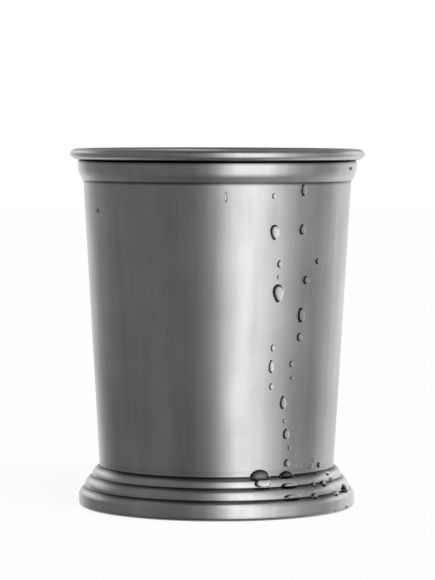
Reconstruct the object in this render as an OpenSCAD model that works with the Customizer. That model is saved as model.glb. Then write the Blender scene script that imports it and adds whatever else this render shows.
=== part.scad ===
// Julep cup: a straight tapered beaker with a rolled lip, a flared collar band under the
// lip and a hollow foot spun in three steps. All pieces are turned about the Z axis.
// The origin is the centre of the ring that the cup stands on, and +Z points up.

/* [Beaker] */
// Overall height, from the standing face to the crown of the lip
cup_h = 108.5; // [96:0.5:124]
// Outside diameter of the wall, carried up to the height of the crown
mouth_d = 82.4; // [76:0.2:90]
// Outside diameter of the wall where it leaves the foot
heel_d = 71.3; // [64:0.1:75]
// Thickness of the sheet that the beaker is drawn from
cup_t = 0.8; // [0.6:0.05:1.1]
// How far the underside of the floor lies below the top edge of the foot
floor_drop = 6.2; // [5.4:0.1:7]
// Inside radius of the bend between floor and wall
heel_r = 3; // [1.5:0.1:4]

/* [Rolled lip] */
// How far the rolled lip reaches out from the wall
lip_reach = 3.5; // [3.2:0.05:5]
// Height of the roll, from its crown to the collar under it
lip_h = 3.25; // [2.8:0.05:4.5]
// Inside radius of the two bends where the sheet turns over at the crown
lip_bend = 0.45; // [0.1:0.05:0.6]
// Gap between the edge of the rolled sheet and the wall
roll_gap = 0.35; // [0.1:0.05:0.6]

/* [Collar band] */
// Height of the band
collar_h = 6.3; // [5:0.1:9]
// Thickness of the band's sheet
collar_t = 0.6; // [0.4:0.05:0.8]
// How far the lower edge of the band stands proud of the wall
collar_step = 0.2; // [0.1:0.05:0.5]
// Height over which the band flares, from its lower edge up
flare_h = 4.4; // [3.4:0.1:5]
// How far the band flares out over that height
flare_w = 1.5; // [1.1:0.05:2]
// Radius of the bend from the flare to the upright part of the band
flare_bend = 6.2; // [4:0.1:8]
// Inside radius of the bend at the band's upper edge
collar_bend = 0.1; // [0.05:0.05:0.4]

/* [Stepped foot] */
// Height at which the wall leaves the foot
foot_h = 12.2; // [11:0.1:15]
// Thickness of the foot's sheet
foot_t = 0.7; // [0.5:0.05:0.9]
// Height of the top step
top_step_h = 2.9; // [2.5:0.1:4]
// How far the top step widens the cup
top_step_w = 2.4; // [2:0.05:4]
// Height of the middle step
mid_step_h = 3.4; // [3.1:0.1:4]
// How far the middle step stands out from the top step
mid_step_w = 2.1; // [1:0.05:2.5]
// Height of the rounded brow on the middle step
mid_brow_h = 2.6; // [1.6:0.1:3]
// How far the bottom step stands out from the middle step
low_step_w = 1.85; // [1.2:0.05:3]
// Height of the rounded brow on the bottom step
low_brow_h = 2.1; // [1.2:0.1:2.5]
// Inside radius of the bend between the bottom step and the standing hem
hem_bend = 0.6; // [0.1:0.05:1]
// Width of the hem that is turned in under the foot
hem_w = 4; // [3:0.1:6]

/* [Base plate] */
// Thickness of the plate that closes the foot
plate_t = 0.7; // [0.5:0.05:0.9]
// Rise of the plate's middle above its rim
dish_h = 1.6; // [0.8:0.1:2]
// Radial width of the bend between the rim and the middle
dish_w = 3; // [2:0.1:5]
// Width of the flat rim that lies on the hem
rim_w = 2.7; // [2:0.1:4]

/* [Fits] */
// Film of solder between two pieces
film = 0.05; // [0.02:0.01:0.1]
// Play between the edge of the base plate and the bend round it
plate_play = 0.2; // [0.1:0.05:0.4]

/* [Hidden] */
$fn = 180;

// Straight pieces that make up each arc of an outline
arc_steps = 10;
// How far the crown of the lip falls away at each side, in degrees
crown_fall = 34;
// Rise of a bowed face over its chord, as a share of the chord
crown_bow_share = tan(crown_fall / 2) / 2;
top_bow_share = 0.14;
brow_bow_share = 0.1;
// Points closer than this share of the sheet are one point
merge_share = 0.001;

// The wall is a cone: its outside radius grows evenly from the foot to the mouth
wall_slope = (mouth_d - heel_d) / 2 / (cup_h - foot_h);
wall_lean = atan(wall_slope);
function wall_r(z) = heel_d / 2 + (z - foot_h) * wall_slope;
function seat_r(z) = wall_r(z) + film;

floor_z = foot_h - floor_drop;
seat_z = cup_h - lip_h;
nose_r = mouth_d / 2 + lip_reach;
// The widest point of the lip lies below its crown by the sheet, the bend and the bow
crown_span = lip_reach - cup_t - 2 * lip_bend * (1 - sin(crown_fall));
crown_drop = (cup_t + lip_bend * cos(crown_fall) + crown_bow_share * crown_span)
    / (1 - crown_bow_share * wall_slope);
nose_z = cup_h - crown_drop;
collar_top = seat_z - film;
collar_z = collar_top - collar_h;
collar_foot_r = wall_r(collar_z) + collar_step;
collar_r = collar_foot_r + flare_w;

top_step_z = foot_h - top_step_h;
mid_step_z = top_step_z - mid_step_h;
top_step_r = heel_d / 2 + top_step_w;
mid_step_r = top_step_r + mid_step_w;
foot_r = mid_step_r + low_step_w;
hem_r = foot_r - hem_w;
hem_bend_r = hem_bend + foot_t;
plate_r = foot_r - hem_bend_r - plate_play;
plate_z = foot_t + film;

// Points on an ellipse round [x, z] from angle a0 to a1, with half axes rx and rz
function oval(x, z, rx, rz, a0, a1) =
    [for (i = [0:arc_steps]) let (a = a0 + (a1 - a0) * i / arc_steps) [x + rx * cos(a), z + rz * sin(a)]];

// Points on an arc from p to q that bows out to the right by a share of the chord
function bow(p, q, share) =
    let (
        run = norm(q - p),
        along = (q - p) / run,
        out = [along.y, -along.x],
        radius = run * (1 / 4 + share * share) / (2 * share),
        centre = (p + q) / 2 - out * (radius - run * share),
        half = asin(run / 2 / radius)
    )
    [for (i = [0:arc_steps])
        let (a = half * (2 * i / arc_steps - 1))
        centre + radius * (out * cos(a) + along * sin(a))];

// An S of two equal arcs from [0, 0] to [w, h], upright at both ends
function ogee(w, h) =
    let (turn = 2 * atan(w / h), radius = h / 2 / sin(turn))
    concat(oval(radius, 0, radius, radius, 180, 180 - turn), oval(w - radius, h, radius, radius, -turn, 0));

// A cone that leans out from [0, 0] and bends upright, to end at [w, h]
function flare(w, h, bend) =
    let (lean = atan((w - bend) / h) + asin(bend / norm([w - bend, h])))
    concat([[0, 0]], oval(w - bend, h, bend, bend, -lean, 0));

function moved(points, x, z) = [for (p = points) p + [x, z]];
function swapped(points) = [for (p = points) [p.y, p.x]];

// The path without points that repeat the one before
function cleaned(path, t) =
    [for (i = [0:len(path) - 1])
        if (i == 0 || norm(path[i] - path[max(i - 1, 0)]) > merge_share * t) path[i]];

// One face of a sheet is a path; the other face lies t to its left, mitred at each point
function left_of(p, q) = [p.y - q.y, q.x - p.x] / norm(q - p);
function other_face(path, t) =
    let (last = len(path) - 1)
    [for (i = [0:last])
        let (
            before = left_of(path[max(i, 1) - 1], path[max(i, 1)]),
            after = left_of(path[min(i, last - 1)], path[min(i, last - 1) + 1])
        )
        path[i] + t * (before + after) / (1 + before * after)];
function reversed(points) = [for (i = [len(points) - 1:-1:0]) points[i]];
function sheet(path, t) = concat(path, reversed(other_face(path, t)));
// The same, with the inner face trimmed to lie against the wall
function trimmed_sheet(path, t) =
    concat(path, [for (p = reversed(other_face(path, t))) [max(p.x, seat_r(p.y)), p.y]]);

// The outer face of the beaker: floor, heel bend and wall. At the mouth the same face
// runs on inside the roll, over, down round the nose and back in above the collar.
heel_out_r = heel_r + cup_t;
heel_z = floor_z + heel_out_r;
heel_x = wall_r(heel_z) - heel_out_r / cos(wall_lean);
mouth_bend = oval(wall_r(nose_z) + lip_bend, nose_z, lip_bend, lip_bend, 180, 90 + crown_fall);
nose_bend = oval(nose_r - cup_t - lip_bend, nose_z, lip_bend, lip_bend, 90 - crown_fall, 0);
beaker_path = cleaned(concat(
    [[0, floor_z]],
    oval(heel_x, heel_z, heel_out_r, heel_out_r, -90, -wall_lean),
    mouth_bend,
    reversed(bow(nose_bend[0], mouth_bend[arc_steps], crown_bow_share)),
    nose_bend,
    oval(collar_r, nose_z, nose_r - cup_t - collar_r, nose_z - seat_z - cup_t, 0, -90),
    [[wall_r(seat_z) + roll_gap, seat_z + cup_t]]
), cup_t);

// The outer face of the band, from its lower edge up to the edge turned in at the top
collar_bend_r = collar_bend + collar_t;
collar_path = cleaned(concat(
    moved(flare(flare_w, flare_h, flare_bend), collar_foot_r, collar_z),
    oval(collar_r - collar_bend_r, collar_top - collar_bend_r, collar_bend_r, collar_bend_r, 0, 90),
    [[seat_r(collar_top), collar_top]]
), collar_t);

// The outer face of the foot, from the hem's inner edge up the three steps to the wall
foot_path = cleaned(concat(
    [[hem_r, 0]],
    oval(foot_r - hem_bend_r, hem_bend_r, hem_bend_r, hem_bend_r, -90, 0),
    bow([foot_r, mid_step_z - low_brow_h], [mid_step_r, mid_step_z], brow_bow_share),
    bow([mid_step_r, top_step_z - mid_brow_h], [top_step_r, top_step_z], brow_bow_share),
    bow([top_step_r, top_step_z], [seat_r(foot_h), foot_h], top_bow_share)
), foot_t);

// The underside of the base plate, from its edge in to the raised middle
plate_path = cleaned(concat(
    [[0, plate_z + dish_h]],
    [for (p = swapped(ogee(dish_h, dish_w))) [plate_r - rim_w - dish_w + p.x, plate_z + dish_h - p.y]],
    [[plate_r, plate_z]]
), plate_t);

module cup_body() {
    color([0.63, 0.63, 0.64]) rotate_extrude() polygon(sheet(beaker_path, cup_t));
}

module collar_band() {
    color([0.68, 0.68, 0.69]) rotate_extrude() polygon(trimmed_sheet(collar_path, collar_t));
}

module foot_ring() {
    color([0.57, 0.57, 0.58]) rotate_extrude() polygon(trimmed_sheet(foot_path, foot_t));
}

module base_plate() {
    color([0.5, 0.5, 0.51]) rotate_extrude() polygon(sheet(plate_path, plate_t));
}

cup_body();
collar_band();
foot_ring();
base_plate();
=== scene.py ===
import math

import bpy
import numpy as np
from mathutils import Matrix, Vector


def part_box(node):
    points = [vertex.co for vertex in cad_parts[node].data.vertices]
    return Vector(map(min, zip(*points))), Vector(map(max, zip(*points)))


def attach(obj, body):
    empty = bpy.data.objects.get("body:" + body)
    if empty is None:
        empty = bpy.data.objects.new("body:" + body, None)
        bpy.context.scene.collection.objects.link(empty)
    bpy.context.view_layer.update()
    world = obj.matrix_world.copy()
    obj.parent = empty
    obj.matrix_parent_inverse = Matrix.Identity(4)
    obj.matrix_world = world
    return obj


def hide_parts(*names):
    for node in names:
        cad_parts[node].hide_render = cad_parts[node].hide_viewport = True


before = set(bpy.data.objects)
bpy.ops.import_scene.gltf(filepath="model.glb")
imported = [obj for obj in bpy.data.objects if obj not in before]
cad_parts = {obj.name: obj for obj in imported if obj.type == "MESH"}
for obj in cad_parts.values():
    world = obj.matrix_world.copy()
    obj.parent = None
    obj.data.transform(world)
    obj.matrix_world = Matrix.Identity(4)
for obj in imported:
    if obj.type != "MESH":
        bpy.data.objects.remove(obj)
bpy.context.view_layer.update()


# Camera
# It stands a little under a metre from the cup, as high as its lip, and looks down by a few
# degrees, so the lip shows as a thin ellipse and the foot as a deeper one. It is rolled by a
# trace, which leans the cup to the right.
MM = 0.001
SENSOR_MM = 36
FOCAL_PX = 3077
PICTURE_H_PX = 580
CAMERA_BACK_MM = 935
CAMERA_UP_MM = 118.3
CAMERA_SIDE_MM = 0.13
CAMERA_PITCH = 3.23
CAMERA_ROLL = 0.14


def add_object(name, data):
    """Adds an object that holds this data to the scene, at the origin."""
    made = bpy.data.objects.new(name, data)
    bpy.context.scene.collection.objects.link(made)
    return made


camera = add_object("camera", bpy.data.cameras.new("camera"))
camera.data.sensor_width = SENSOR_MM
camera.data.lens = SENSOR_MM * FOCAL_PX / PICTURE_H_PX
camera.location = (CAMERA_SIDE_MM * MM, -CAMERA_BACK_MM * MM, CAMERA_UP_MM * MM)
camera.rotation_mode = "ZXY"
camera.rotation_euler = (math.radians(90 - CAMERA_PITCH), 0, math.radians(CAMERA_ROLL))
bpy.context.scene.camera = camera
bpy.context.scene.view_settings.view_transform = "Standard"


# Studio light
# A white cove curves behind the cup, and a tall soft light stands to the right of the camera. To
# the left and overhead it is dark.

# Three rings of light levels round the cup, one above eye height, one at eye height and one for
# the ground. Each level has its bearing in degrees to the right of the camera.
HIGH = (
    (-180, 0.20),
    (-168, 0.30),
    (-160, 1.10),
    (-150, 1.50),
    (-138, 1.15),
    (-125, 0.80),
    (-112, 0.28),
    (-25, 0.20),
    (-10, 0.27),
    (0, 0.42),
    (6, 1.00),
    (16, 1.70),
    (30, 1.80),
    (42, 1.50),
    (56, 1.00),
    (70, 0.60),
    (98, 0.40),
    (115, 0.75),
    (128, 1.20),
    (155, 1.20),
    (168, 0.30),
    (180, 0.20),
)
RING = (
    (-180, 1.00),
    (-160, 0.95),
    (-148, 0.72),
    (-138, 0.40),
    (-125, 0.27),
    (-105, 0.22),
    (-80, 0.20),
    (-60, 0.24),
    (-45, 0.19),
    (-25, 0.19),
    (-10, 0.26),
    (0, 0.42),
    (6, 1.00),
    (16, 1.70),
    (30, 1.80),
    (42, 1.50),
    (56, 1.02),
    (70, 0.56),
    (98, 0.36),
    (110, 0.50),
    (124, 0.84),
    (142, 1.05),
    (160, 1.05),
    (180, 1.00),
)
GROUND = (
    (-180, 1.20),
    (-154, 1.20),
    (-142, 0.85),
    (-130, 0.55),
    (-110, 0.30),
    (-90, 0.20),
    (-56, 0.15),
    (-35, 0.12),
    (-5, 0.15),
    (10, 0.16),
    (40, 0.16),
    (60, 0.16),
    (85, 0.30),
    (97, 0.50),
    (114, 0.75),
    (128, 0.95),
    (180, 1.20),
)
FULL_TURN = 360

# Where the light goes over from eye height to the ground and to the ring above, and where it
# falls off under the roof behind the cup and at the ceiling. The heights are sines of the angle
# from the horizon, and so is the edge of the roof, from the line across the cup to the back.
GROUND_FROM, GROUND_TO = 0.45, 0.90
HIGH_FROM, HIGH_TO = 0.10, 0.30
ROOF_LEVEL, ROOF_FROM, ROOF_TO = 0.20, 0.42, 0.55
ROOF_EDGE_FROM, ROOF_EDGE_TO = 0.0, 0.3
CEILING_LEVEL, CEILING_FROM, CEILING_TO = 0.06, 0.86, 0.98
BACKGROUND_LEVEL = 1.0
WHITE_LIGHT = (1, 1, 1, 1)


def bare_tree(owner):
    """The emptied node tree of a new world or material."""
    owner.use_nodes = True
    owner.node_tree.nodes.clear()
    return owner.node_tree


def add_node(tree, kind, inputs=None, **settings):
    """Adds a node of this kind to a tree. The settings are the node's own, and inputs maps the
    name or number of a socket to its value, or to another node's output that feeds it."""
    made = tree.nodes.new(kind)
    for name, value in settings.items():
        setattr(made, name, value)
    for socket, value in (inputs or {}).items():
        if isinstance(value, bpy.types.NodeSocket):
            tree.links.new(value, made.inputs[socket])
        else:
            made.inputs[socket].default_value = value
    return made


def set_stops(ramp, stops):
    """Gives a colour ramp its grey stops, each a place from 0 to 1 and a level."""
    while len(ramp.elements) > 1:
        ramp.elements.remove(ramp.elements[-1])
    ramp.elements[0].position = stops[0][0]
    ramp.elements[0].color = (*[stops[0][1]] * 3, 1)
    for place, level in stops[1:]:
        ramp.elements.new(place).color = (*[level] * 3, 1)


studio = bpy.data.worlds.new("studio")
bpy.context.scene.world = studio
sky = bare_tree(studio)
direction = add_node(sky, "ShaderNodeTexCoord").outputs["Generated"]
way = add_node(sky, "ShaderNodeSeparateXYZ", {0: direction}).outputs
nearer = add_node(sky, "ShaderNodeMath", {0: way["Y"], 1: -1.0}, operation="MULTIPLY").outputs[0]
bearing = add_node(sky, "ShaderNodeMath", {0: way["X"], 1: nearer}, operation="ARCTAN2").outputs[0]
turn_share = add_node(
    sky, "ShaderNodeMapRange", {"Value": bearing, "From Min": -math.pi, "From Max": math.pi}
).outputs[0]

# Each ring is a ramp that starts and ends right behind the cup.
rings = []
for levels in (GROUND, RING, HIGH):
    ramp = add_node(sky, "ShaderNodeValToRGB", {0: turn_share})
    set_stops(ramp.color_ramp, [(degrees / FULL_TURN + 0.5, level) for degrees, level in levels])
    rings.append(ramp.outputs["Color"])
ground_ring, eye_ring, high_ring = rings

# How far this direction has come into each part of the studio, growing smoothly from 0 to 1.
low, high, under_roof, behind_cup, at_ceiling = (
    add_node(
        sky,
        "ShaderNodeMapRange",
        {"Value": value, "From Min": start, "From Max": end},
        interpolation_type="SMOOTHSTEP",
    ).outputs[0]
    for value, start, end in (
        (way["Z"], -GROUND_FROM, -GROUND_TO),
        (way["Z"], HIGH_FROM, HIGH_TO),
        (way["Z"], ROOF_FROM, ROOF_TO),
        (way["Y"], ROOF_EDGE_FROM, ROOF_EDGE_TO),
        (way["Z"], CEILING_FROM, CEILING_TO),
    )
)
roof = add_node(sky, "ShaderNodeMath", {0: under_roof, 1: behind_cup}, operation="MULTIPLY").outputs[0]
seen_by_camera = add_node(sky, "ShaderNodeLightPath").outputs["Is Camera Ray"]
level = eye_ring
for share, other in (
    (low, ground_ring),
    (high, high_ring),
    (roof, ROOF_LEVEL),
    (at_ceiling, CEILING_LEVEL),
    (seen_by_camera, BACKGROUND_LEVEL),
):
    level = add_node(sky, "ShaderNodeMix", {"Factor": share, "A": level, "B": other}).outputs[0]
light = add_node(sky, "ShaderNodeBackground", {"Color": WHITE_LIGHT, "Strength": level})
add_node(sky, "ShaderNodeOutputWorld", {"Surface": light.outputs[0]})


# Floor
# A plain table in matt white paint. It shows white, with only a trace of the cup's shadow, and
# the metal mirrors the studio's ring in its place.
FLOOR_REACH_MM = 3000
FLOOR_GLOW = 1.2
FLOOR_SHADOW_SHARE = 0.25
FLOOR_WHITE = "#E7E7E7"


def linear(code):
    """A colour written as #RRGGBB, turned by the sRGB curve to the linear colour that a shader
    wants: a straight line near black, and the power 2.4 above it."""
    share = np.array([int(code[i : i + 2], 16) for i in (1, 3, 5)]) / 255
    light = np.where(share <= 0.04045, share / 12.92, ((share + 0.055) / 1.055) ** 2.4)
    return (*light.tolist(), 1)


floor_reach = FLOOR_REACH_MM * MM
floor_mesh = bpy.data.meshes.new("floor")
floor_mesh.from_pydata(
    [(x * floor_reach, y * floor_reach, 0) for x, y in ((-1, -1), (1, -1), (1, 1), (-1, 1))],
    [],
    [(0, 1, 2, 3)],
)
floor = add_object("floor", floor_mesh)
floor.visible_glossy = False
paint = bpy.data.materials.new("matt_white_paint")
tree = bare_tree(paint)
glow = add_node(tree, "ShaderNodeEmission", {"Strength": FLOOR_GLOW})
matt = add_node(tree, "ShaderNodeBsdfDiffuse", {"Color": linear(FLOOR_WHITE)})
white = add_node(
    tree, "ShaderNodeMixShader", {0: FLOOR_SHADOW_SHARE, 1: glow.outputs[0], 2: matt.outputs[0]}
)
seen_by_camera = add_node(tree, "ShaderNodeLightPath").outputs["Is Camera Ray"]
shown = add_node(
    tree, "ShaderNodeMixShader", {0: seen_by_camera, 1: matt.outputs[0], 2: white.outputs[0]}
)
add_node(tree, "ShaderNodeOutputMaterial", {"Surface": shown.outputs[0]})
floor_mesh.materials.append(paint)


# Beaker
# Drawn from one sheet of stainless steel, floor and wall together, and finished on a lathe. At
# the mouth the sheet is rolled outward over the crown and back in under itself, as a hollow lip.
MOUTH_D = 82.4
HEEL_D = 71.3
BEAKER_T = 0.8
HEEL_BEND = 3
LIP_BEND = 0.45
ROLL_GAP = 0.35
CROWN_FALL = 34
FILM = 0.05
BEND_STEPS = 14
WALL_STEPS = 40
TURN_STEPS = 360
SHARP_FROM_DEG = 32
# A point that is nearer to the axis than POLE_R lies on it, and two points of a path that are
# nearer to each other than LEAST_STEP are one.
POLE_R = 1e-6
LEAST_STEP = 0.001


def box_mm(node):
    """The lowest and highest corners of a CAD node, in millimetres."""
    return [np.array(corner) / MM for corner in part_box(node)]


def arc(r, z, a0, a1, radius, radius_z=None):
    """Points round (r, z) from angle a0 to a1 in degrees: (r + radius cos a, z + radius_z sin a)."""
    a = np.radians(np.linspace(a0, a1, BEND_STEPS + 1))
    return np.stack([r + radius * np.cos(a), z + (radius_z or radius) * np.sin(a)], 1)


def bow(p, q, share):
    """An arc from p to q that bows out to the right by a share of its chord c. Its radius is
    c (1/4 + share squared) / (2 share), and its centre lies on the chord's perpendicular."""
    p, q = np.array(p, float), np.array(q, float)
    chord = np.linalg.norm(q - p)
    along = (q - p) / chord
    out = np.array([along[1], -along[0]])
    radius = chord * (1 / 4 + share * share) / (2 * share)
    centre = (p + q) / 2 - out * (radius - chord * share)
    half = math.asin(chord / 2 / radius)
    a = np.linspace(-half, half, BEND_STEPS + 1)[:, None]
    return centre + radius * (out * np.cos(a) + along * np.sin(a))


def cleaned(stretches):
    """The stretches joined into one path, without points that repeat the one before."""
    path = np.vstack(stretches)
    step = np.linalg.norm(np.diff(path, axis=0), axis=1)
    return path[np.concatenate([[True], step > LEAST_STEP])]


def other_face(path, t):
    """The path moved t to its left. Each point goes along the sum of the unit normals n1 and n2
    of the stretches beside it, divided by 1 + n1 . n2, which mitres the corners."""
    step = np.diff(path, axis=0)
    left = np.stack([-step[:, 1], step[:, 0]], 1) / np.linalg.norm(step, axis=1)[:, None]
    before = np.vstack([left[:1], left])
    after = np.vstack([left, left[-1:]])
    return path + t * (before + after) / (1 + np.sum(before * after, axis=1))[:, None]


def sheet_outline(path, t):
    """The outline of a sheet of thickness t, from one face and back along the other."""
    return np.vstack([path, other_face(path, t)[::-1]])


def turned(name, outline, slot_of=None):
    """Turns an outline of (r, z) points in millimetres about the Z axis into a closed surface:
    x = r cos a, y = r sin a. A point on the axis becomes a pole, and with no pole the outline
    closes on itself. slot_of gives each stretch its material slot from its middle."""
    on_axis = outline[:, 0] < POLE_R
    counts = np.where(on_axis, 1, TURN_STEPS)
    first = np.concatenate([[0], np.cumsum(counts)[:-1]])
    a = np.arange(TURN_STEPS) * 2 * math.pi / TURN_STEPS
    points = [
        [[0, 0, z]] if pole else np.stack([r * np.cos(a), r * np.sin(a), np.full(TURN_STEPS, z)], 1)
        for (r, z), pole in zip(outline, on_axis)
    ]
    this = np.arange(TURN_STEPS)
    next_one = (this + 1) % TURN_STEPS
    faces, slots = [], []
    for i in range(len(outline) - bool(on_axis.any())):
        j = (i + 1) % len(outline)
        if on_axis[i]:
            corners = [np.full(TURN_STEPS, first[i]), first[j] + next_one, first[j] + this]
        elif on_axis[j]:
            corners = [first[i] + this, first[i] + next_one, np.full(TURN_STEPS, first[j])]
        else:
            corners = [first[i] + this, first[i] + next_one, first[j] + next_one, first[j] + this]
        faces += np.stack(corners, 1).tolist()
        middle = (outline[i] + outline[j]) / 2
        slots += [slot_of(*middle) if slot_of else 0] * TURN_STEPS
    mesh = bpy.data.meshes.new(name)
    mesh.from_pydata(np.vstack(points) * MM, [], faces)
    mesh.polygons.foreach_set("material_index", slots)
    mesh.polygons.foreach_set("use_smooth", [True] * len(faces))
    mesh.set_sharp_from_angle(angle=math.radians(SHARP_FROM_DEG))
    mesh.update()
    return add_object(name, mesh)


# Satin stainless steel, spun: grey, with a soft sheen that runs up and down because the grain
# goes round, faint clouds and streaks, and painted shade in the creases and towards the foot. The
# real grain is about 0.1 mm wide, too fine to show here, so it is drawn coarser.
STEEL_LIGHT = "#CDCDCE"
STEEL_DARK = "#ADADAF"
STEEL_INSIDE_LIGHT = "#F0F0F0"
STEEL_INSIDE_DARK = "#E2E2E2"
# The dark of the painted shade at the creases, near the foot and at the hem, and of the spin lines.
SHADE_AND_SPIN_LINE_DARK = "#171717"
CLOUD_MM = 24
CLOUD_RELIEF_MM = 0.07
STREAK_W_MM = 4
STREAK_H_MM = 70
STREAK_SHARE = 0.4
GRAIN_MM = 0.7
GRAIN_RUN_MM = 60
GRAIN_RELIEF_MM = 0.002
GRAIN_PULL = 0.35
QUARTER_TURN = 0.25
ROUGHNESS_SPREAD = 0.02
NOISE_LOW, NOISE_HIGH = 0.3, 0.7


def spun_steel(name, roughness, seams=(), grain_pull=GRAIN_PULL, light=STEEL_LIGHT, dark=STEEL_DARK):
    """Spun satin steel. Seams are (z, above, below, strength): the height of a crease's painted
    shade or of a spin line, how far its darkening reaches up and down as it fades smoothly, all
    in millimetres, and how dark it is."""
    material = bpy.data.materials.new(name)
    tree = bare_tree(material)
    spot = add_node(tree, "ShaderNodeTexCoord").outputs["Object"]
    height = add_node(tree, "ShaderNodeSeparateXYZ", {0: spot}).outputs["Z"]

    def pattern(across_mm, up_mm, detail):
        """Noise over the place on the piece, divided by one real size across and by one up."""
        per_size = (1 / (across_mm * MM), 1 / (across_mm * MM), 1 / (up_mm * MM))
        scaled = add_node(tree, "ShaderNodeVectorMath", {0: spot, 1: per_size}, operation="MULTIPLY")
        return add_node(
            tree, "ShaderNodeTexNoise", {"Vector": scaled.outputs[0], "Scale": 1.0, "Detail": detail}
        ).outputs[0]

    cloud = pattern(CLOUD_MM, CLOUD_MM, detail=3.0)
    streak = pattern(STREAK_W_MM, STREAK_H_MM, detail=2.0)
    grain = pattern(GRAIN_RUN_MM, GRAIN_MM, detail=2.0)
    mottle = add_node(
        tree, "ShaderNodeMix", {"Factor": STREAK_SHARE, "A": cloud, "B": streak}
    ).outputs[0]
    shade = add_node(
        tree, "ShaderNodeMapRange", {"Value": mottle, "From Min": NOISE_LOW, "From Max": NOISE_HIGH}
    ).outputs[0]
    colour = add_node(
        tree, "ShaderNodeMixRGB", {"Fac": shade, "Color1": linear(dark), "Color2": linear(light)}
    ).outputs[0]
    # Each seam mixes the dark in, fading smoothly up and down: painted shade at the creases, towards
    # the foot and at the hem, and the spin lines' own dark.
    for z, up, down, strength in seams:
        rise = add_node(tree, "ShaderNodeMath", {0: height, 1: z * MM}, operation="SUBTRACT").outputs[0]
        darkening = strength
        for reach in (up, -down):
            fade = add_node(
                tree,
                "ShaderNodeMapRange",
                {"Value": rise, "From Min": reach * MM, "From Max": 0.0},
                interpolation_type="SMOOTHSTEP",
            ).outputs[0]
            darkening = add_node(tree, "ShaderNodeMath", {0: fade, 1: darkening}, operation="MULTIPLY").outputs[0]
        colour = add_node(
            tree, "ShaderNodeMixRGB", {"Fac": darkening, "Color1": colour, "Color2": linear(SHADE_AND_SPIN_LINE_DARK)}
        ).outputs[0]
    rough = add_node(
        tree,
        "ShaderNodeMapRange",
        {
            "Value": cloud,
            "From Min": NOISE_LOW,
            "From Max": NOISE_HIGH,
            "To Min": roughness + ROUGHNESS_SPREAD,
            "To Max": roughness - ROUGHNESS_SPREAD,
        },
    ).outputs[0]
    relief = add_node(
        tree, "ShaderNodeBump", {"Height": cloud, "Distance": CLOUD_RELIEF_MM * MM, "Strength": 1.0}
    ).outputs[0]
    relief = add_node(
        tree,
        "ShaderNodeBump",
        {"Height": grain, "Distance": GRAIN_RELIEF_MM * MM, "Strength": 1.0, "Normal": relief},
    ).outputs[0]
    round_the_axis = add_node(tree, "ShaderNodeTangent", direction_type="RADIAL", axis="Z").outputs[0]
    metal = add_node(
        tree,
        "ShaderNodeBsdfPrincipled",
        {
            "Base Color": colour,
            "Metallic": 1.0,
            "Roughness": rough,
            "Anisotropic": grain_pull,
            "Anisotropic Rotation": QUARTER_TURN,
            "Normal": relief,
            "Tangent": round_the_axis,
        },
    )
    add_node(tree, "ShaderNodeOutputMaterial", {"Surface": metal.outputs[0]})
    return material


# How far each darkening reaches up and down from its height, in millimetres, and how dark it is.
# All but the spin lines are painted shade: the wall is painted darker towards the foot, where the
# light on it dims, and the creases are painted dark, for the shade and dark reflections in them.
FOOTWARD_PAINTED_SHADE = (70, 1.0, 0.15)
BEAKER_CREASE_SHADE = (0.5, 1.0, 1.0)
UNDER_COLLAR_SHADE = (0.5, 1.0, 0.8)
SPIN_LINE = (0.2, 0.2, 0.3)
SPIN_LINES_UP = (1.1, 1.7)

body_low, body_high = box_mm("cup_body")
collar_low, collar_high = box_mm("collar_band")
foot_high = box_mm("foot_ring")[1]
floor_z, crown_z = body_low[2], body_high[2]
nose_r = body_high[0]
collar_r, collar_z, collar_top = collar_high[0], collar_low[2], collar_high[2]
foot_top = foot_high[2]
seat_z = collar_top + FILM
wall_slope = (MOUTH_D - HEEL_D) / 2 / (crown_z - foot_top)
wall_lean = math.degrees(math.atan(wall_slope))


def wall_r(z):
    """The wall's outside radius at height z: it grows evenly from the foot to the mouth."""
    return HEEL_D / 2 + (z - foot_top) * wall_slope


# The widest point of the lip, its nose, lies below the crown by the sheet, the bend and the bow.
crown_bow = math.tan(math.radians(CROWN_FALL / 2)) / 2
bend_side = 1 - math.sin(math.radians(CROWN_FALL))
crown_span = nose_r - MOUTH_D / 2 - BEAKER_T - 2 * LIP_BEND * bend_side
crown_drop = BEAKER_T + LIP_BEND * math.cos(math.radians(CROWN_FALL)) + crown_bow * crown_span
nose_z = crown_z - crown_drop / (1 - crown_bow * wall_slope)
heel_r = HEEL_BEND + BEAKER_T
heel_z = floor_z + heel_r
heel_x = wall_r(heel_z) - heel_r / math.cos(math.radians(wall_lean))
mouth_bend = arc(wall_r(nose_z) + LIP_BEND, nose_z, 180, 90 + CROWN_FALL, LIP_BEND)
nose_bend = arc(nose_r - BEAKER_T - LIP_BEND, nose_z, 90 - CROWN_FALL, 0, LIP_BEND)
heel_bend = arc(heel_x, heel_z, -90, -wall_lean, heel_r)
beaker_path = cleaned([
    [[0, floor_z]],
    heel_bend,
    np.linspace(heel_bend[-1], mouth_bend[0], WALL_STEPS),
    mouth_bend,
    bow(nose_bend[0], mouth_bend[-1], crown_bow)[::-1],
    nose_bend,
    arc(collar_r, nose_z, 0, -90, nose_r - BEAKER_T - collar_r, nose_z - seat_z - BEAKER_T),
    [[wall_r(seat_z) + ROLL_GAP, seat_z + BEAKER_T]],
])


def inside(r, z):
    """1 where (r, z) lies in from the wall's outside and up from the underside of the floor by
    more than half the sheet, and 0 elsewhere."""
    return int(r < wall_r(z) - BEAKER_T / 2 and z > floor_z + BEAKER_T / 2)


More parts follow.
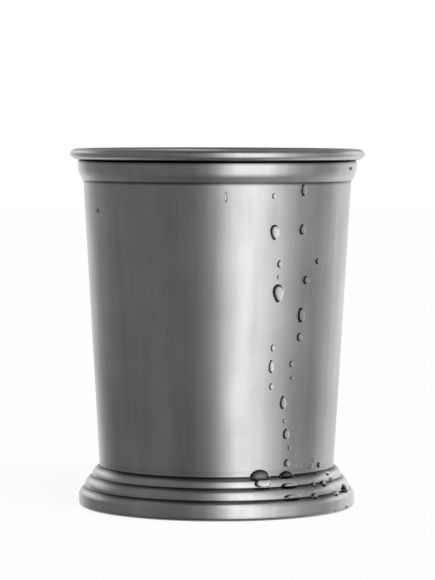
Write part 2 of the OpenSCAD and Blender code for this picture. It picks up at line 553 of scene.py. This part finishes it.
beaker = turned("beaker", sheet_outline(beaker_path, BEAKER_T), slot_of=inside)
beaker.data.materials.append(
    spun_steel(
        "spun_satin_steel",
        roughness=0.31,
        seams=(
            (foot_top, *FOOTWARD_PAINTED_SHADE),
            (foot_top, *BEAKER_CREASE_SHADE),
            *((foot_top + up, *SPIN_LINE) for up in SPIN_LINES_UP),
            (seat_z, *BEAKER_CREASE_SHADE),
            (collar_z, *UNDER_COLLAR_SHADE),
        ),
    )
)
# The inside is a lighter steel than the outside, with no painted shade.
beaker.data.materials.append(
    spun_steel("drawn_satin_steel", roughness=0.45, light=STEEL_INSIDE_LIGHT, dark=STEEL_INSIDE_DARK)
)
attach(beaker, "root")
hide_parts("cup_body")


# Collar band
# A flared band of the same steel, soldered round the wall under the lip. It stands away from
# the wall, with its lower edge thinned down onto it and its upper edge turned in.
COLLAR_T = 0.6
COLLAR_STEP = 0.2
FLARE_H = 4.4
FLARE_BEND = 6.2
COLLAR_BEND = 0.1
# Painted shade at the band's top and bottom creases, where shade gathers: how far it reaches up and
# down, in millimetres, and how dark it is.
COLLAR_TOP_SHADE = (1.0, 1.4, 1.0)
COLLAR_LOW_SHADE = (0.4, 1.0, 0.7)


def flare(w, h, bend):
    """A cone that leans out from (0, 0) and bends upright, to end at (w, h). It touches the
    bend's circle round (w - bend, h), d away, so it leans by atan((w - bend) / h) + asin(bend / d)."""
    lean = math.degrees(math.atan((w - bend) / h) + math.asin(bend / math.hypot(w - bend, h)))
    return np.vstack([[[0, 0]], arc(w - bend, h, -lean, 0, bend)])


def trimmed(outline):
    """The outline trimmed to lie on the wall. No point of it is nearer to the axis than the
    wall's outside radius at its height, plus a film of solder."""
    r, z = outline.T
    return np.stack([np.maximum(r, wall_r(z) + FILM), z], 1)


collar_foot_r = wall_r(collar_z) + COLLAR_STEP
collar_bend_r = COLLAR_BEND + COLLAR_T
collar_path = cleaned([
    flare(collar_r - collar_foot_r, FLARE_H, FLARE_BEND) + [collar_foot_r, collar_z],
    arc(collar_r - collar_bend_r, collar_top - collar_bend_r, 0, 90, collar_bend_r),
    [[wall_r(collar_top) + FILM, collar_top]],
])
collar = turned("collar", trimmed(sheet_outline(collar_path, COLLAR_T)))
collar.data.materials.append(
    spun_steel(
        "pressed_satin_steel",
        roughness=0.24,
        seams=((collar_top, *COLLAR_TOP_SHADE), (collar_z, *COLLAR_LOW_SHADE)),
        grain_pull=0.0,
    )
)
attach(collar, "root")
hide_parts("collar_band")


# Foot
# Spun from sheet in three steps over a wooden former, hollow inside, with its top edge trimmed
# to the wall and its bottom edge turned in as the hem that the cup stands on.
FOOT_T = 0.7
TOP_STEP_H, TOP_STEP_W = 2.9, 2.4
MID_STEP_H, MID_STEP_W = 3.4, 2.1
MID_BROW_H, LOW_BROW_H = 2.6, 2.1
HEM_BEND = 0.6
HEM_W = 4
TOP_BOW_SHARE = 0.14
BROW_BOW_SHARE = 0.1
# Painted shade at the foot's creases, and at the hem for the dark that it reflects from the table near
# the cup: how far each reaches up and down, in millimetres, and how dark it is.
FOOT_TOP_SHADE = (1.0, 1.2, 0.9)
STEP_SHADE = (0.4, 1.1, 0.9)
HEM_PAINTED_SHADE = (1.8, 1.0, 0.6)

foot_r = foot_high[0]
hem_bend_r = HEM_BEND + FOOT_T
top_step_r = HEEL_D / 2 + TOP_STEP_W
mid_step_r = top_step_r + MID_STEP_W
top_step_z = foot_top - TOP_STEP_H
mid_step_z = top_step_z - MID_STEP_H
foot_path = cleaned([
    [[foot_r - HEM_W, 0]],
    arc(foot_r - hem_bend_r, hem_bend_r, -90, 0, hem_bend_r),
    bow([foot_r, mid_step_z - LOW_BROW_H], [mid_step_r, mid_step_z], BROW_BOW_SHARE),
    bow([mid_step_r, top_step_z - MID_BROW_H], [top_step_r, top_step_z], BROW_BOW_SHARE),
    bow([top_step_r, top_step_z], [wall_r(foot_top) + FILM, foot_top], TOP_BOW_SHARE),
])
foot = turned("foot", trimmed(sheet_outline(foot_path, FOOT_T)))
foot.data.materials.append(
    spun_steel(
        "stepped_satin_steel",
        roughness=0.26,
        seams=(
            (foot_top, *FOOT_TOP_SHADE),
            (top_step_z, *STEP_SHADE),
            (mid_step_z, *STEP_SHADE),
            (0, *HEM_PAINTED_SHADE),
        ),
        grain_pull=0.0,
    )
)
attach(foot, "root")
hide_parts("foot_ring")


# Base plate
# A dished disc of turned steel that lies on the hem inside the foot and closes it from below.
# The dish keeps the middle clear of the table.
PLATE_T = 0.7
DISH_H = 1.6
DISH_W = 3
RIM_W = 2.7


def ogee(w, h):
    """An S of two equal arcs from (0, 0) to (w, h), upright at both ends. Each turns by
    2 atan(w / h), with a radius of h / 2 over the sine of that turn."""
    turn = 2 * math.degrees(math.atan(w / h))
    radius = h / 2 / math.sin(math.radians(turn))
    return np.vstack([arc(radius, 0, 180, 180 - turn, radius), arc(w - radius, h, -turn, 0, radius)])


plate_low, plate_high = box_mm("base_plate")
plate_r, plate_z = plate_high[0], plate_low[2]
dish_side = ogee(DISH_H, DISH_W)[:, ::-1] * [1, -1]
plate_path = cleaned([
    [[0, plate_z + DISH_H]],
    dish_side + [plate_r - RIM_W - DISH_W, plate_z + DISH_H],
    [[plate_r, plate_z]],
])
plate = turned("base_plate_disc", sheet_outline(plate_path, PLATE_T))
plate.data.materials.append(spun_steel("turned_satin_steel", roughness=0.42))
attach(plate, "root")
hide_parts("base_plate")


# Water beads
# Beads of clear water that have run down the front of the cold metal and pooled on the foot.
# They are a piece of their own, so that taking it away leaves the cup dry.

# Each bead's middle, width and height in the picture, in pixels. A fifth number says how much
# narrower it grows towards its top, as a share of its width, and is below zero where it narrows
# downwards. A sixth is the share of its half width where its dark rim starts. It is below zero
# where the bead is so deep that its middle is dark as well, and 1 where it is so small that it
# has no rim. A seventh is for a drop that lies on a ledge, flat below: how far it reaches below
# its middle, as a share of its half height.
BEADS_PX = (
    (303.5, 190, 5, 13),
    (274, 196, 4, 6),
    (274.5, 232.5, 9, 16, -0.25),
    (302, 229.5, 6, 11),
    (279.5, 264, 5, 8),
    (278.5, 277, 3, 4),
    (277.7, 293.5, 10.5, 19, -0.3),
    (317.5, 261.5, 4, 6, 0, 0.75),
    (312, 272, 2.5, 6, 0, 1),
    (305.5, 280, 6, 9),
    (311.5, 291.5, 3, 4, 0, 1),
    (300.5, 315, 7, 16),
    (299, 337, 5, 9),
    (272.5, 348, 4, 7),
    (271, 366.5, 5, 14),
    (271, 386.5, 4, 7),
    (291, 364, 4, 7),
    (291.5, 377.5, 3, 4),
    (282.5, 402.5, 6, 14),
    (284, 421, 3, 4),
    (285.5, 434, 6, 11),
    (289, 447.5, 3, 4),
    (286.5, 463, 6, 8),
    (226, 197, 2.5, 11),
    (97.5, 210.5, 1.5, 5, 0, 1),
    (351, 168.5, 1.8, 4, 0, 1),
    (260, 478, 20.5, 17, 0, -1.5, 0.1),
    (262.5, 483, 17, 9),
    (285.5, 475.5, 15, 10, 0.2, -1.5, 0.1),
    (289, 485.5, 16, 6, 0, 0.6, 0.1),
    (292, 497, 17, 6, 0, 0.6, 0.1),
    (298.5, 465, 3.5, 9, 0, 1),
    (311, 466.5, 4, 5, 0, 1),
    (313.5, 460, 3, 4, 0, 1),
    (319, 465, 3, 6, 0, 0.9),
    (313, 484, 4, 4),
    (322.5, 482.5, 5, 5),
    (327.5, 473, 3, 2.5, 0, 1),
    (331, 478, 3, 3, 0, 1),
    (314, 495, 6, 5),
    (335, 492.5, 4, 4, 0, 1),
    (344.5, 487, 5, 8),
    (347, 507, 2, 2.5, 0, 1),
    (336, 511, 2, 2, 0, 1),
)
PICTURE_W_PX = 435
# The stretch of each ray from the camera in which the metal is looked for, and how finely.
RAY_FROM_MM, RAY_TO_MM, RAY_STEPS = 870, 970, 4001
SLOPE_STEP_MM = 0.05
# How far a bead rises off the metal, as a share of its width and at most, and the gap behind it.
BEAD_RISE_SHARE = 0.34
BEAD_RISE_MOST_MM = 1.1
BEAD_LIFT_MM = 0.02
# How much narrower it grows towards its top, and how much more it rises below its middle.
BEAD_TAPER_SHARE = 0.15
BEAD_SAG_SHARE = 0.3
BEAD_CROWN, BEAD_EDGE = 4, 0.5
BEAD_RINGS, BEAD_SIDES = 24, 28
# Where its rim starts, where it is full and the least between them, as shares of its half width.
RIM_FROM_SHARE, RIM_TO_SHARE = 0.6, 0.85
RIM_LEAST_SHARE = 0.01

outside = np.vstack([
    foot_path[1:],
    [[wall_r(foot_top), foot_top], [wall_r(collar_z), collar_z]],
    collar_path,
])


def outside_r(z):
    """The outside radius of the foot, the wall and the band at height z, on a straight line
    between the points of their outlines."""
    return np.interp(z, outside[:, 1], outside[:, 0])


def on_metal(x_px, y_px):
    """The turn to the right of the front, in radians, and the height in millimetres of the spot
    that shows at this pixel: the first point of the camera's ray that is no farther from the
    axis than the metal."""
    px = np.array([x_px - PICTURE_W_PX / 2, PICTURE_H_PX / 2 - y_px, -FOCAL_PX])
    ray = np.array(camera.matrix_basis.to_3x3()) @ px / FOCAL_PX
    reach = np.linspace(RAY_FROM_MM, RAY_TO_MM, RAY_STEPS)[:, None]
    spots = np.array(camera.location) / MM + reach * ray
    x, y, z = spots[np.argmax(np.hypot(spots[:, 0], spots[:, 1]) <= outside_r(spots[:, 2]))]
    return math.atan2(x, -y), z


def bead(x_px, y_px, w_px, h_px, taper=BEAD_TAPER_SHARE, rim_from=RIM_FROM_SHARE, below=1):
    """A grid of points over one bead, as rings about the line out of its middle, from its front
    to its back. Ring t, from 0 to pi, reaches out by sin t of the bead's half width and half
    height, and under the middle the half height is times below. The front half rises off the
    metal by (1 - (sin t) to the power BEAD_CROWN) to the power BEAD_EDGE, which gives a flat
    crown and a steep edge, and by more under the middle than over it. The other results are the
    way that the metal behind each point faces, and how much each point belongs to the rim."""
    turn, z = on_metal(x_px, y_px)
    mm_per_px = (CAMERA_BACK_MM - outside_r(z)) / FOCAL_PX
    half_w = w_px * mm_per_px / 2 / math.cos(turn)
    half_h = h_px * mm_per_px / 2
    rise = min(2 * half_w * BEAD_RISE_SHARE, BEAD_RISE_MOST_MM)
    ring = np.arange(BEAD_RINGS + 1)[:, None]
    in_front = ring <= BEAD_RINGS / 2
    out = np.sin(ring * math.pi / BEAD_RINGS)
    a = np.arange(BEAD_SIDES) * 2 * math.pi / BEAD_SIDES
    across = half_w * out * np.cos(a) * (1 - taper * out * np.sin(a))
    height = z + half_h * out * np.sin(a) * np.where(np.sin(a) < 0, below, 1)
    front = np.where(in_front, (1 - out**BEAD_CROWN).clip(0) ** BEAD_EDGE, 0)
    swell = rise * front * (1 - BEAD_SAG_SHARE * out * np.sin(a))
    r = outside_r(height) + BEAD_LIFT_MM + swell
    side = turn + across / r
    slope = (outside_r(height + SLOPE_STEP_MM) - outside_r(height - SLOPE_STEP_MM)) / 2 / SLOPE_STEP_MM
    rim_w = max(RIM_TO_SHARE - rim_from, RIM_LEAST_SHARE)
    rim = np.where(in_front, (out - rim_from) / rim_w, 0).clip(0, 1)
    return (
        np.stack([r * np.sin(side), -r * np.cos(side), height], 2),
        np.stack([np.sin(side), -np.cos(side), -slope], 2),
        np.broadcast_to(rim, side.shape)[:, :, None],
    )


# The beads' grids, each as one list of points that holds each pole once.
pole_to_pole = slice(BEAD_SIDES - 1, BEAD_RINGS * BEAD_SIDES + 1)
bead_points, bead_ways, bead_rims = (
    np.vstack([grid.reshape(-1, grid.shape[2])[pole_to_pole] for grid in grids])
    for grids in zip(*[bead(*sizes) for sizes in BEADS_PX])
)

# One bead's faces: four corners from ring to ring, and a fan of three corners at each pole.
this = np.arange(BEAD_SIDES)
next_one = (this + 1) % BEAD_SIDES
near = 1 + np.arange(BEAD_RINGS - 2)[:, None] * BEAD_SIDES
far = near + BEAD_SIDES
last = (BEAD_RINGS - 1) * BEAD_SIDES + 1
last_ring = last - BEAD_SIDES
bands = np.stack([near + this, far + this, far + next_one, near + next_one], 2).reshape(-1, 4)
front_fan = np.stack([np.full(BEAD_SIDES, 0), 1 + this, 1 + next_one], 1)
back_fan = np.stack([last_ring + this, np.full(BEAD_SIDES, last), last_ring + next_one], 1)
bead_faces = []
for first in range(0, len(bead_points), last + 1):
    for kind in (bands, front_fan, back_fan):
        bead_faces += (first + kind).tolist()
bead_mesh = bpy.data.meshes.new("water_beads")
bead_mesh.from_pydata(bead_points * MM, [], bead_faces)
bead_mesh.polygons.foreach_set("use_smooth", [True] * len(bead_faces))
for name, kind, value, numbers in (
    ("rim", "FLOAT", "value", bead_rims),
    ("metal_way", "FLOAT_VECTOR", "vector", bead_ways),
):
    bead_mesh.attributes.new(name, kind, "POINT").data.foreach_set(value, numbers.ravel())
bead_mesh.update()
beads = add_object("water_beads", bead_mesh)

# Clear water on metal shows the metal behind it. A bead is a lens, so its right side mirrors
# what lies to the left of what the bare metal mirrors there, and its left side the other way
# round: the way the metal faces is turned by a share of how far the skin leans, against it. The
# rim is painted dark, as painted shade for the dark room that the water's steep edge bends into
# view, but it shines where it is seen edge on.
WATER_ROUGHNESS = 0.15
LENS_SHARE = 0.5
SEEN_METAL = "#C5C5C7"
RIM_PAINTED_SHADE = "#303030"
RIM_SHINE = "#FFFFFF"
EDGE_ON_FROM, EDGE_ON_TO = 0.55, 0.85

water = bpy.data.materials.new("clear_water")
tree = bare_tree(water)
metal_way = add_node(tree, "ShaderNodeAttribute", attribute_name="metal_way").outputs["Vector"]
behind = add_node(tree, "ShaderNodeVectorMath", {0: metal_way}, operation="NORMALIZE").outputs[0]
skin = add_node(tree, "ShaderNodeNewGeometry").outputs["Normal"]
lean = add_node(tree, "ShaderNodeVectorMath", {0: behind, 1: skin}, operation="SUBTRACT").outputs[0]
bent = add_node(
    tree, "ShaderNodeVectorMath", {0: lean, 1: (LENS_SHARE,) * 3, 2: behind}, operation="MULTIPLY_ADD"
).outputs[0]
seen_way = add_node(tree, "ShaderNodeVectorMath", {0: bent}, operation="NORMALIZE").outputs[0]
facing = add_node(tree, "ShaderNodeLayerWeight", {"Blend": 0.5}).outputs["Facing"]
edge_on = add_node(
    tree, "ShaderNodeMapRange", {"Value": facing, "From Min": EDGE_ON_FROM, "From Max": EDGE_ON_TO}
).outputs[0]
rim_colour = add_node(
    tree, "ShaderNodeMixRGB", {"Fac": edge_on, "Color1": linear(RIM_PAINTED_SHADE), "Color2": linear(RIM_SHINE)}
).outputs[0]
rim = add_node(tree, "ShaderNodeAttribute", attribute_name="rim").outputs["Fac"]
bead_colour = add_node(
    tree, "ShaderNodeMixRGB", {"Fac": rim, "Color1": linear(SEEN_METAL), "Color2": rim_colour}
).outputs[0]
clear = add_node(
    tree,
    "ShaderNodeBsdfPrincipled",
    {"Base Color": bead_colour, "Metallic": 1.0, "Roughness": WATER_ROUGHNESS, "Normal": seen_way},
)
add_node(tree, "ShaderNodeOutputMaterial", {"Surface": clear.outputs[0]})
beads.data.materials.append(water)
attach(beads, "root")
